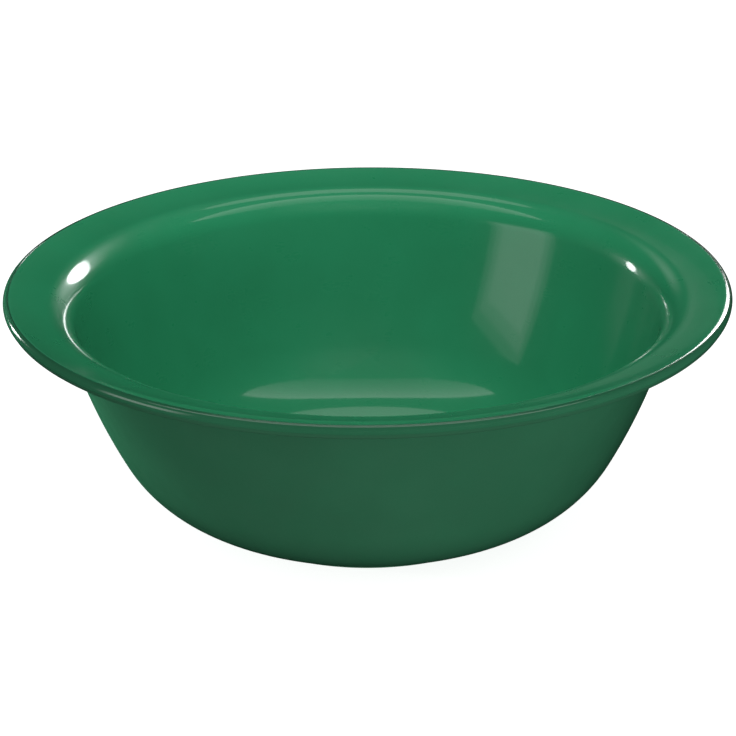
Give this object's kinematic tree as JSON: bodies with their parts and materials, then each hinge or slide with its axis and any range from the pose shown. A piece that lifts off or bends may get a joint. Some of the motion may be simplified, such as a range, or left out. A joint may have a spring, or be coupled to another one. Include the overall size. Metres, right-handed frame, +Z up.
{
  "type": "mixing bowl",
  "caption": "Round moulded mixing bowl with sloping side, wide flange, rounded rim and low foot ring.",
  "frame": {"origin": "centre of the foot ring, on the level that the bowl stands on", "axes": "+Z up along the bowl's axis, out of its mouth; X and Y are any two level directions, because the bowl is round"},
  "size_m": [0.245, 0.245, 0.0806],
  "materials": {
    "green_moulding": "satin",
    "glazed_green": "gloss"
  },
  "bodies": {
    "root": {"bowl_body": "green_moulding", "food_side_glaze": "glazed_green"}
  },
  "joints": []
}
